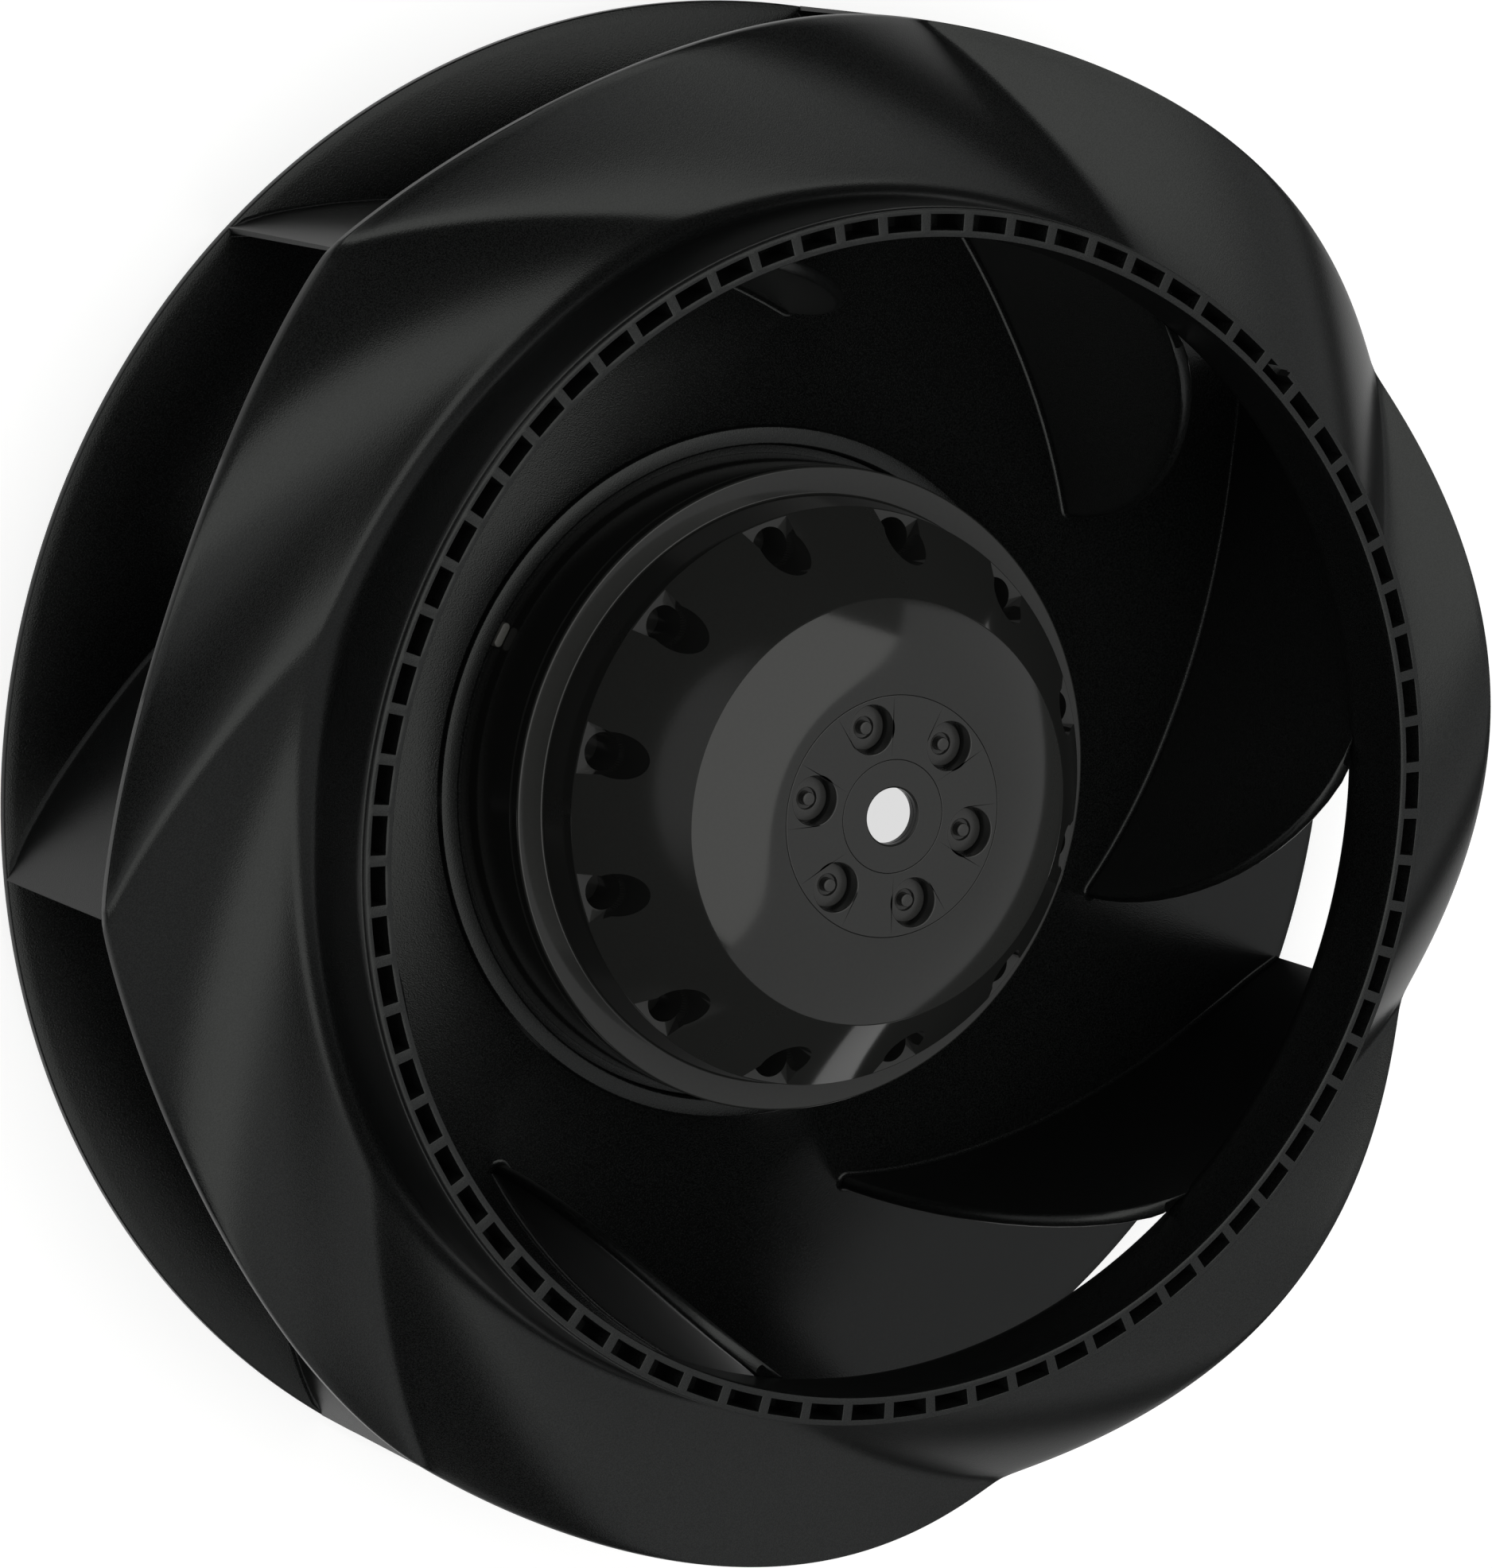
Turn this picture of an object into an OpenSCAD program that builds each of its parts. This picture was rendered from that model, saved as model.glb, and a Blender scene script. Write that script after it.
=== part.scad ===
/* [Wheel] */
// Diameter of the back plate
plate_d = 250; // [236:1:264]
// How far the wavy edge of the shroud reaches past the back plate
shroud_reach = 0; // [-3:0.1:3]
// Height from the back of the wheel to the front face of the inlet ring
wheel_h = 71.8; // [68:0.2:76]
// Number of blades, and of lobes on the shroud
blade_count = 7; // [5:1:9]
// Gap left all round where one piece is pressed into another
press_gap = 0.03; // [0.02:0.01:0.08]

/* [Blades] */
// Blade angle from the tangent at the nose
nose_angle = 24; // [20:1:30]
// Blade angle from the tangent at the tail
tail_angle = 35; // [30:1:42]
// Diameter of the circle through the blade noses at their feet
nose_d = 152.8; // [146:0.2:158]
// Blade thickness at the nose, at the foot
nose_t = 2.3; // [1.8:0.1:3]
// Blade thickness half way along, at the foot
middle_t = 3.5; // [2.6:0.1:4.2]
// Blade thickness at the tail, at the foot
tail_t = 0.9; // [0.7:0.1:1.6]
// Share of its thickness that a blade loses from foot to top
blade_draft = 0.35; // [0:0.05:0.5]
// Height of the leading edge where it meets the eye
lead_h = 57.2; // [54:0.2:60]
// How far the tails stay inside the edge of the back plate
tail_inset = 0.3; // [0.2:0.1:1]
// Width of the weld bead beside each foot
bead_w = 0.7; // [0.3:0.1:1]
// Height of the weld bead round each foot
bead_h = 0.4; // [0.2:0.1:0.8]

/* [Shroud] */
// Thickness of the shroud sheet
shroud_t = 1.9; // [1.5:0.1:2.4]
// Height of the sheet where it leaves the neck
neck_h = 53.1; // [51:0.1:55]
// Height of the edge half way between two blades
crest_h = 51.5; // [49:0.1:53]
// Height of the edge in the notch over a blade tail
notch_h = 39.3; // [36:0.1:44]
// Distance of the crease from the middle of the blade, near the eye
crease_offset = 3.7; // [0:0.1:4]
// Share of a lobe's height by which the crease's bottom is rounded, near the eye
crease_soft = 0.12; // [0.04:0.01:0.3]
// Radius of the hollow corner between ring and sheet
corner_r = 3; // [2:0.1:4]

/* [Inlet ring] */
// Outer diameter of the inlet ring
ring_d = 193.8; // [190:0.2:197]
// Diameter of the eye, inside the ring
eye_d = 184.2; // [181:0.2:186]
// Number of balancing pockets in the front face
pocket_count = 77; // [56:7:84]
// Length of a pocket along the ring
pocket_l = 5.9; // [4.5:0.1:6.2]
// Width of a pocket across the ring
pocket_w = 2.44; // [1.8:0.02:2.8]
// Depth of a pocket
pocket_depth = 8; // [5:0.5:9]
// Number of the pocket whose outer wall has the start slot
slot_pocket = 36; // [0:1:76]
// Width of the start slot
slot_w = 2.6; // [1.5:0.1:4]
// Depth of the start slot
slot_depth = 3; // [1:0.5:5]
// Height of the thin lip at the front of the ring's outer wall
lip_h = 1; // [0.5:0.1:2]
// How far the outer wall stands out below the lip
lip_step = 0.3; // [0.1:0.1:0.6]

/* [Back plate] */
// Thickness of the back plate
plate_t = 1.7; // [1.4:0.1:2.4]
// Width of the flat foot under the edge
foot_w = 2.4; // [1.5:0.1:4]
// Outer diameter of the collar
collar_d = 114.6; // [112:0.2:118]
// Height of the collar's outer edge
collar_h = 18.2; // [16:0.2:20]
// How much higher the collar's inner edge is
collar_rise = 1.4; // [0.8:0.1:2]
// Share of the plate's rise that lies close to the collar
bell = 0.38; // [0.2:0.02:0.5]
// Width of the groove between collar and rotor hub
groove_w = 1.5; // [1:0.1:1.8]
// Depth of that groove
groove_depth = 2.2; // [1.5:0.1:3]
// Wall of the sleeve that grips the rotor hub
sleeve_t = 2.2; // [1.6:0.1:3]

/* [Rotor hub] */
// Diameter of the skirt
skirt_d = 105.3; // [103:0.1:107]
// Height of the front disc, the highest point of the hub
hub_h = 64; // [61:0.2:67]
// Wall of the hub
hub_t = 2.4; // [1.8:0.1:3]
// Height of the hub's open edge above the back of the wheel
skirt_foot = 3; // [1:0.5:5]
// Height of the ledge round the skirt's top
ledge_h = 36.8; // [34:0.2:39]
// Inner diameter of the ledge
ledge_d = 96.1; // [94.5:0.1:98]
// Slope of the cone from the horizontal
cone_angle = 51.9; // [48:0.5:55]
// Diameter of the cone's base
cone_d = 94.4; // [92:0.2:95.6]
// Height of the cone's base
cone_h = 42.9; // [41:0.1:44]
// Height of the shoulder where the cone meets the domed front
shoulder_h = 60.2; // [58:0.1:62]
// Rounding of that shoulder
shoulder_r = 1.2; // [0.6:0.1:2]
// Number of scoops in the cone
scoop_count = 12; // [8:1:14]
// Diameter of the circle through the scoops
scoop_pcd = 85.4; // [84:0.2:87]
// Width of a scoop
scoop_w = 7.2; // [6.8:0.1:8]
// Diameter of the blind hole in a scoop
scoop_hole_d = 6.2; // [5:0.1:6.4]
// Depth of that hole
scoop_hole_depth = 6.4; // [4:0.2:6.6]

/* [Hub centre] */
// Diameter of the front disc
disc_d = 38.8; // [38:0.2:40]
// Thickness of the front disc
disc_t = 5.2; // [4.6:0.1:6]
// Number of rivets
rivet_count = 6; // [4:1:7]
// Diameter of the rivet circle
rivet_pcd = 29.4; // [28.6:0.1:29.8]
// Diameter of the counterbore over a rivet
counterbore_d = 7.9; // [7.4:0.1:8.2]
// Depth of the counterbore
counterbore_depth = 3.6; // [3:0.1:4]
// Thickness of a rivet's head
rivet_head_t = 1; // [0.8:0.1:1.4]
// Diameter of a rivet's shank
shank_d = 4; // [3.4:0.1:4.4]
// Diameter of the socket in a rivet's head
socket_d = 3.5; // [3:0.1:3.7]
// Depth of the socket
socket_depth = 0.7; // [0.4:0.1:0.8]
// Diameter of the pin in a rivet
pin_d = 2.2; // [1.8:0.1:2.4]
// How far the pin stands out of the head
pin_rise = 0.8; // [0.4:0.1:1.2]
// Diameter of the bush in the middle
bush_d = 18.2; // [17.6:0.1:18.8]
// Thickness of the bush
bush_t = 2.4; // [2:0.1:3]
// Diameter of the bore for the shaft
bore_d = 9.1; // [8:0.1:10]

/* [Collar plug] */
// Length of the plug along the groove
plug_l = 4.1; // [3:0.1:6]
// Height of the plug above the groove's floor
plug_h = 2.4; // [1.6:0.1:3.4]
// Direction of the plug, round from the first blade's tail
plug_azimuth = 274.5; // [0:0.5:360]

/* [Hidden] */
$fn = 96;

// Ends of the blades and of the sheet
edge_r = plate_d / 2 + shroud_reach;
tail_r = min(plate_d / 2, edge_r) - tail_inset;
nose_r = nose_d / 2;
eye_r = eye_d / 2;
ring_r = ring_d / 2;
corner_end = ring_r + corner_r;
flare_r = corner_end - eye_r;
lobe = 360 / blade_count;

// Steps of the computed shapes
blade_steps = 12;
nose_steps = 4;
lead_steps = 6;
lobe_steps = 16;
plate_steps = 10;
turn_steps = 40;
over = 1;

// Turn of the pocket pattern against the first blade's tail
pocket_phase = 1.05;
// Turn of the scoops and the rivets against the first blade's tail
hub_phase = 19.5;

// Sum of a list
function total(v) = v * [for (x = v) 1];

// Angle between blade and tangent at radius r
function blade_angle(r) =
    nose_angle + (tail_angle - nose_angle) * (r - nose_r) / (tail_r - nose_r);

// Azimuth of the blade's middle line at radius r, counted from its tail
function blade_azimuth(r) =
    let (step = (tail_r - r) / turn_steps)
    -total([for (i = [0.5 : turn_steps])
        let (q = r + i * step) step / (q * tan(blade_angle(q))) * 180 / PI]);

// Top of the back plate: a shallow bell, steeper near the collar
collar_r = collar_d / 2;
plate_r = plate_d / 2;
function plate_rise(u) = (1 - u) * (1 - bell + bell * exp(-3.5 * u));
plate_top = [for (i = [0 : plate_steps])
    let (u = pow(i / plate_steps, 1.4))
    [collar_r + u * (plate_r - collar_r), plate_t + (collar_h - plate_t) * plate_rise(u)]];
function plate_z(r) = lookup(r, plate_top);

// Half the blade's thickness; u runs from nose to tail, v from foot to top
function half_t(u, v) =
    lookup(u, [[0, nose_t / 2], [0.3, middle_t / 2], [0.8, middle_t / 2],
               [0.92, middle_t * 0.4], [1, tail_t / 2]])
    * (1 - blade_draft * v);

// Plan outline of a blade from radius r0 to just past the tail, grown all round
function blade_outline(r0, v, grow) =
    let (
        radii = [for (i = [0 : blade_steps]) r0 + (tail_r + over - r0) * i / blade_steps],
        mids = [for (r = radii) r * [cos(blade_azimuth(r)), sin(blade_azimuth(r))]],
        along = [for (r = radii) blade_azimuth(r) + 90 - blade_angle(r)],
        half = [for (r = radii) grow + half_t((r - nose_r) / (tail_r - nose_r), v)]
    )
    concat(
        [for (i = [blade_steps : -1 : 0]) mids[i] + half[i] * [cos(along[i] + 90), sin(along[i] + 90)]],
        [for (k = [1 : nose_steps - 1])
            let (a = along[0] + 90 + 180 * k / nose_steps) mids[0] + half[0] * [cos(a), sin(a)]],
        [for (i = [0 : blade_steps]) mids[i] + half[i] * [cos(along[i] - 90), sin(along[i] - 90)]]
    );

// The leading edge is a quarter of an ellipse, from the foot up to the eye
lead_foot = plate_z(nose_r);
function lead_z(t) = lead_foot + (lead_h - lead_foot) * sin(t);
function lead_r(t) = nose_r + (eye_r - nose_r) * (1 - cos(t));

// Top of the shroud: s is 1 half way between two blades and 0 on the crease
wave_start = ring_r - corner_r;
function wave_share(r) = max(0, (r - wave_start) / (edge_r - wave_start));
function crest_z(r) = neck_h + (crest_h - neck_h) * (r - corner_end) / (edge_r - corner_end);
function sheet_z(r, s) = crest_z(r) - (crest_h - notch_h) * wave_share(r) * (1 - s);
function swell(r, a) =
    let (soft = crease_soft * (1 - 0.6 * wave_share(r)))
    (sqrt(pow(sin(180 * a), 2) + soft * soft) - soft) / (sqrt(1 + soft * soft) - soft);
function crease_azimuth(r) =
    blade_azimuth(r)
    - crease_offset * sqrt(max(0, 1 - wave_share(r))) / (r * sin(blade_angle(r))) * 180 / PI;

// Share of a lobe at step i; the steps are closer together beside the creases
function lobe_share(i) = i / lobe_steps - 0.1 * sin(360 * i / lobe_steps);

// Rise of a round corner at radius r towards the ring
function corner_rise(r, reach) =
    let (d = min(reach, max(0, corner_end - r))) reach - sqrt(reach * reach - d * d);

// Rings of the sheet: radius, rise of its top and rise of its under side
root_r = (eye_r + ring_r) / 2 - 0.8;
sheet_radii = concat(
    [for (k = [1, 0.62, 0.35, 0.1]) corner_end - corner_r * sin(90 * k) + 0.12 * k],
    [for (i = [0 : 6]) corner_end + (edge_r - corner_end) * i / 6]);
sheet_rings = concat(
    [[root_r, corner_r + 1, corner_rise(root_r, flare_r) + 1],
     [root_r + 1.4, corner_r + 1, corner_rise(root_r + 1.4, flare_r)]],
    [for (r = sheet_radii) [r, corner_rise(r, corner_r), corner_rise(r, flare_r)]]);

module sheet() {
    turns = blade_count * lobe_steps;
    rings = len(sheet_rings);
    points = [for (under = [0, 1]) for (g = sheet_rings) for (i = [0 : turns - 1])
        let (
            r = g[0],
            s = swell(r, lobe_share(i)),
            a = crease_azimuth(r) + lobe * lobe_share(i),
            z = sheet_z(r, s) + (under == 1 ? g[2] - shroud_t : g[1])
        ) [r * cos(a), r * sin(a), z]];
    function id(under, j, i) = (under * rings + j) * turns + (i % turns);
    faces = concat(
        [for (j = [0 : rings - 2]) for (i = [0 : turns - 1]) for (half = [0, 1])
            half == 0 ? [id(0, j, i), id(0, j, i + 1), id(0, j + 1, i + 1)]
                      : [id(0, j, i), id(0, j + 1, i + 1), id(0, j + 1, i)]],
        [for (j = [0 : rings - 2]) for (i = [0 : turns - 1]) for (half = [0, 1])
            half == 0 ? [id(1, j, i), id(1, j + 1, i + 1), id(1, j, i + 1)]
                      : [id(1, j, i), id(1, j + 1, i), id(1, j + 1, i + 1)]],
        [for (i = [0 : turns - 1]) for (half = [0, 1])
            half == 0 ? [id(0, rings - 1, i), id(0, rings - 1, i + 1), id(1, rings - 1, i + 1)]
                      : [id(0, rings - 1, i), id(1, rings - 1, i + 1), id(1, rings - 1, i)]],
        [for (i = [0 : turns - 1]) for (half = [0, 1])
            half == 0 ? [id(0, 0, i + 1), id(0, 0, i), id(1, 0, i)]
                      : [id(0, 0, i + 1), id(1, 0, i), id(1, 0, i + 1)]]);
    polyhedron(points, faces, convexity = 10);
}

// Blade lofted level by level, with draft and a round nose that follows the leading edge;
// its top leans into the ring, which hides it
module blade_blank() {
    levels = concat(
        [[0, nose_r]],
        [for (i = [0 : lead_steps]) let (t = 90 * i / lead_steps) [lead_z(t), lead_r(t)]],
        [[lead_h + 2 * over, eye_r + 2 * over]]);
    outlines = [for (g = levels)
        [for (p = blade_outline(g[1], g[0] / lead_h, 0)) [p[0], p[1], g[0]]]];
    count = len(outlines[0]);
    top = len(levels) - 1;
    points = [for (o = outlines) for (p = o) p];
    faces = concat(
        [[for (i = [0 : count - 1]) i]],
        [[for (i = [count - 1 : -1 : 0]) top * count + i]],
        [for (j = [0 : top - 1]) for (i = [0 : count - 1]) for (half = [0, 1])
            let (k = (i + 1) % count)
            half == 0 ? [j * count + i, (j + 1) * count + i, (j + 1) * count + k]
                      : [j * count + i, (j + 1) * count + k, j * count + k]]);
    polyhedron(points, faces, convexity = 10);
}

// Half way between top and under side of the sheet, on the crease
function sheet_middle_z(r) =
    sheet_z(r, 0) + (corner_rise(r, corner_r) + corner_rise(r, flare_r) - shroud_t) / 2;

// Space that the blades may fill, turned round the axis: from plate to sheet
module blade_space() {
    seat = [for (p = plate_top) if (p[0] > nose_r - 3 && p[0] < tail_r) p];
    first_r = nose_r - 3;
    roof_radii = concat(
        [for (i = [0 : 3]) ring_r - corner_r / 2 + corner_r * 1.5 * i / 3],
        [for (i = [1 : 6]) corner_end + (tail_r - corner_end) * i / 6]);
    last = len(roof_radii) - 1;
    rotate_extrude()
        polygon(concat(
            [[first_r, plate_z(first_r)]],
            seat,
            [[tail_r, plate_z(tail_r)]],
            [for (i = [last : -1 : 0]) [roof_radii[i], sheet_middle_z(roof_radii[i])]],
            [[eye_r + corner_r / 2, lead_h + over],
             [first_r, lead_h + over]]));
}

module blades() {
    intersection() {
        for (k = [0 : blade_count - 1]) rotate(k * lobe) blade_blank();
        blade_space();
    }
}

// Ring with its pockets, and the flare that leads the air from the eye under the sheet
module ring() {
    floor_z = sheet_z(wave_start, 1) - shroud_t;
    flare_end = root_r + 1.8;
    difference() {
        rotate_extrude()
            polygon(concat(
                [[eye_r, wheel_h - 0.4], [eye_r + 0.4, wheel_h],
                 [ring_r - lip_step, wheel_h], [ring_r - lip_step, wheel_h - lip_h],
                 [ring_r, wheel_h - lip_h - 0.2],
                 [ring_r, neck_h + 0.6], [flare_end, neck_h + 1.9]],
                [for (i = [0 : 8])
                    let (r = flare_end + (eye_r - flare_end) * i / 8)
                    [r, floor_z + corner_rise(r, flare_r) + 0.1]]));
        for (k = [0 : pocket_count - 1])
            rotate(pocket_phase + k * 360 / pocket_count)
                translate([(eye_r + ring_r) / 2 - pocket_w / 2, -pocket_l / 2, wheel_h - pocket_depth])
                    cube([pocket_w, pocket_l, pocket_depth + over]);
        rotate(pocket_phase + slot_pocket * 360 / pocket_count)
            translate([(eye_r + ring_r) / 2, -slot_w / 2, wheel_h - slot_depth])
                cube([ring_d, slot_w, slot_depth + over]);
    }
}

module shroud_and_blades() {
    color([0.085, 0.088, 0.09]) union() {
        ring();
        sheet();
        blades();
    }
}

// Rotor hub: skirt, ledge, cone and rounded front, with a seat for the front disc
skirt_r = skirt_d / 2;
ledge_r = ledge_d / 2;
cone_r = cone_d / 2;
disc_r = disc_d / 2;
seat_r = disc_r + press_gap;
seat_h = hub_h - disc_t;
shelf_r = rivet_pcd / 2 - shank_d / 2 - hub_t;
scoop_floor = cone_h + 0.2;

// Radius at height z on the cone, moved inwards by the wall t
function cone_at(z, t) = cone_r - (z - cone_h) / tan(cone_angle) - t / sin(cone_angle);

// Height of the domed front at radius r; it is level at the disc and steepest at the shoulder
front_end = cone_at(shoulder_h, 0);
function front_z(r) =
    hub_h - (hub_h - shoulder_h) * pow(max(0, r - seat_r) / (front_end - seat_r), 1.7);

module hub_outside() {
    front_slope = atan(1.7 * (hub_h - shoulder_h) / (front_end - seat_r));
    turn = (cone_angle - front_slope) / 2;
    run = shoulder_r * tan(turn);
    last_r = front_end - run * cos(front_slope);
    centre = [last_r - shoulder_r * sin(front_slope), front_z(last_r) - shoulder_r * cos(front_slope)];
    rotate_extrude()
        polygon(concat(
            [[0, skirt_foot], [skirt_r, skirt_foot], [skirt_r, ledge_h - hub_t - 0.3],
             [skirt_r - 0.25, ledge_h - hub_t - 0.1], [skirt_r - 0.25, ledge_h - hub_t + 0.2],
             [skirt_r, ledge_h - hub_t + 0.4], [skirt_r - 0.1, ledge_h - 0.3],
             [skirt_r - 0.4, ledge_h], [ledge_r, ledge_h + 0.9], [cone_r, cone_h]],
            [for (i = [4 : -1 : 0])
                let (a = front_slope + 2 * turn * i / 4) centre + shoulder_r * [sin(a), cos(a)]],
            [for (i = [5 : -1 : 0])
                let (r = seat_r + (last_r - seat_r) * i / 6) [r, front_z(r)]],
            [[0, hub_h]]));
}

module hub_inside() {
    under = shoulder_h - hub_t;
    first_r = seat_r + hub_t;
    last_r = cone_at(under, hub_t);
    rotate_extrude()
        polygon(concat(
            [[0, skirt_foot - over], [skirt_r - hub_t, skirt_foot - over],
             [skirt_r - hub_t, ledge_h - hub_t], [cone_r - 0.7 * hub_t, ledge_h - hub_t],
             [cone_r - 0.7 * hub_t, cone_h - 0.9 * hub_t]],
            [for (i = [3 : -1 : 0])
                let (r = first_r + (last_r - first_r) * i / 3) [r, front_z(r) - hub_t]],
            [[first_r, seat_h - hub_t], [0, seat_h - hub_t]]));
}

module at_scoops() {
    for (k = [0 : scoop_count - 1])
        rotate(hub_phase + k * 360 / scoop_count) translate([scoop_pcd / 2, 0, 0]) children();
}

module scoop_cut() {
    mouth = cone_r - scoop_pcd / 2;
    translate([0, 0, scoop_floor]) {
        cylinder(h = hub_h, d = scoop_w);
        linear_extrude(hub_h)
            polygon([
                [0, -scoop_w * 0.43], [mouth + over, -scoop_w * 0.64],
                [mouth + over, scoop_w * 0.64], [0, scoop_w * 0.43]]);
    }
    translate([0, 0, scoop_floor - scoop_hole_depth]) cylinder(h = hub_h, d = scoop_hole_d);
}

module rotor_hub() {
    cup_r = min(scoop_w / 2 + 0.6 * hub_t, skirt_r - scoop_pcd / 2 - 0.2);
    color([0.06, 0.06, 0.063]) difference() {
        hub_outside();
        difference() {
            hub_inside();
            at_scoops()
                translate([0, 0, scoop_floor - scoop_hole_depth - hub_t / 2])
                    cylinder(h = hub_h, r = cup_r);
        }
        at_scoops() scoop_cut();
        translate([0, 0, seat_h]) cylinder(h = hub_h, r = seat_r);
        translate([0, 0, seat_h - hub_t - over]) cylinder(h = hub_h, r = shelf_r);
        at_rivets() translate([0, 0, seat_h - hub_t - over])
            cylinder(h = hub_h, d = shank_d + 2 * press_gap);
    }
}

module at_rivets() {
    for (k = [0 : rivet_count - 1])
        rotate(hub_phase + 30 + k * 360 / rivet_count) translate([rivet_pcd / 2, 0, 0]) children();
}

// Front disc, held on the hub's shelf by the rivets
module front_disc() {
    eye = bush_d / 2 - 1.2;
    color([0.065, 0.065, 0.068]) difference() {
        translate([0, 0, seat_h]) cylinder(h = disc_t, r = disc_r);
        translate([0, 0, seat_h - over]) cylinder(h = hub_h, r = eye);
        translate([0, 0, hub_h - bush_t]) cylinder(h = hub_h, d = bush_d + 2 * press_gap);
        at_rivets() {
            translate([0, 0, hub_h - counterbore_depth]) cylinder(h = hub_h, d = counterbore_d);
            translate([0, 0, seat_h - over]) cylinder(h = hub_h, d = shank_d + 2 * press_gap);
        }
    }
}

// Bush in the middle, with the bore for the shaft
module bore_bush() {
    color([0.07, 0.07, 0.073])
        translate([0, 0, hub_h - bush_t]) rotate_extrude()
            polygon([
                [bore_d / 2, 0], [bush_d / 2, 0], [bush_d / 2, bush_t],
                [bore_d / 2 + 0.3, bush_t], [bore_d / 2, bush_t - 0.3]]);
}

// Rivets that hold the disc to the hub, each with its head, shank and formed end
rivet_seat = hub_h - counterbore_depth;
rivet_head_d = counterbore_d - 0.5;
rivet_end = seat_h - hub_t;

module rivet_bodies() {
    color([0.08, 0.08, 0.083]) at_rivets() rotate_extrude()
        polygon([
            [pin_d / 2 + press_gap, rivet_end - 2.2], [shank_d / 2 + 0.3, rivet_end - 2.2],
            [shank_d / 2 + 1, rivet_end - 1.4], [shank_d / 2 + 1, rivet_end],
            [shank_d / 2, rivet_end], [shank_d / 2, rivet_seat],
            [rivet_head_d / 2, rivet_seat], [rivet_head_d / 2, rivet_seat + rivet_head_t - 0.2],
            [rivet_head_d / 2 - 0.2, rivet_seat + rivet_head_t],
            [socket_d / 2, rivet_seat + rivet_head_t],
            [socket_d / 2, rivet_seat + rivet_head_t - socket_depth],
            [pin_d / 2 + press_gap, rivet_seat + rivet_head_t - socket_depth]]);
}

// Pins left in the rivets, each with its round head at the back
module rivet_pins() {
    color([0.075, 0.075, 0.078]) at_rivets() rotate_extrude()
        polygon([
            [0, rivet_end - 3.8], [pin_d / 2, rivet_end - 3.6], [shank_d / 2 - 0.1, rivet_end - 3],
            [shank_d / 2 - 0.1, rivet_end - 2.2], [pin_d / 2, rivet_end - 2.2],
            [pin_d / 2, rivet_seat + rivet_head_t + pin_rise - 0.2],
            [pin_d / 2 - 0.2, rivet_seat + rivet_head_t + pin_rise],
            [0, rivet_seat + rivet_head_t + pin_rise]]);
}

// Back plate: sleeve round the hub, collar, bell, flat foot and the weld beads of the blades
groove_floor = collar_h + collar_rise - groove_depth;

module back_plate() {
    grip_r = skirt_r + press_gap;
    lip_r = grip_r + groove_w;
    under = [for (p = plate_top) [p[0], p[1] - plate_t]];
    color([0.08, 0.083, 0.085]) union() {
        rotate_extrude()
            polygon(concat(
                [[grip_r, skirt_foot], [grip_r, groove_floor], [lip_r, groove_floor],
                 [lip_r, collar_h + collar_rise - 0.3], [lip_r + 0.3, collar_h + collar_rise]],
                plate_top,
                [[plate_r, 0], [plate_r - foot_w, 0]],
                [for (i = [plate_steps - 1 : -1 : 1]) under[i]],
                [[collar_r, under[1][1] + (under[0][1] - under[1][1]) * 0.5],
                 [grip_r + sleeve_t, groove_floor - plate_t], [grip_r + sleeve_t, skirt_foot]]));
        weld_beads();
    }
}

// Each bead runs round its blade's foot, which stands in it on the plate
module weld_beads() {
    first_r = nose_r - nose_t;
    last_r = plate_r - 0.1;
    seat = [for (p = plate_top) if (p[0] > first_r && p[0] < last_r) p];
    line = concat([[first_r, plate_z(first_r)]], seat, [[last_r, plate_z(last_r)]]);
    intersection() {
        for (k = [0 : blade_count - 1]) rotate(k * lobe)
            difference() {
                linear_extrude(collar_h) polygon(blade_outline(nose_r, 0, bead_w));
                translate([0, 0, -over])
                    linear_extrude(collar_h + 2 * over) polygon(blade_outline(nose_r, 0, press_gap));
            }
        rotate_extrude()
            polygon(concat(
                [for (p = line) [p[0], p[1] + bead_h]],
                [for (i = [len(line) - 1 : -1 : 0]) [line[i][0], line[i][1] - plate_t / 2]]));
    }
}

// Plug in the groove between collar and hub
module collar_plug() {
    wall = skirt_r + 2 * press_gap;
    width = groove_w - 2 * press_gap;
    turn = (plug_l - width) / 2 / (wall + width / 2) * 180 / PI;
    color([0.23, 0.23, 0.22]) translate([0, 0, groove_floor]) union() {
        rotate(plug_azimuth - turn) rotate_extrude(angle = 2 * turn)
            translate([wall, 0]) square([width, plug_h]);
        for (side = [-1, 1])
            rotate(plug_azimuth + side * turn) translate([wall + width / 2, 0, 0])
                cylinder(h = plug_h, d = width);
    }
}

shroud_and_blades();
back_plate();
rotor_hub();
front_disc();
bore_bush();
rivet_bodies();
rivet_pins();
collar_plug();
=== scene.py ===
# %% [markdown]
# A centrifugal blower wheel, moulded in black plastic round the rotor hub of an
# external rotor motor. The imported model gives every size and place, and this
# lesson gives each piece the smooth form and finish of the real one. The units
# are metres, and the axis of the wheel is Z, out of the inlet ring.

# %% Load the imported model
import math

import bmesh
import bpy
from mathutils import Matrix, Vector


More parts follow.
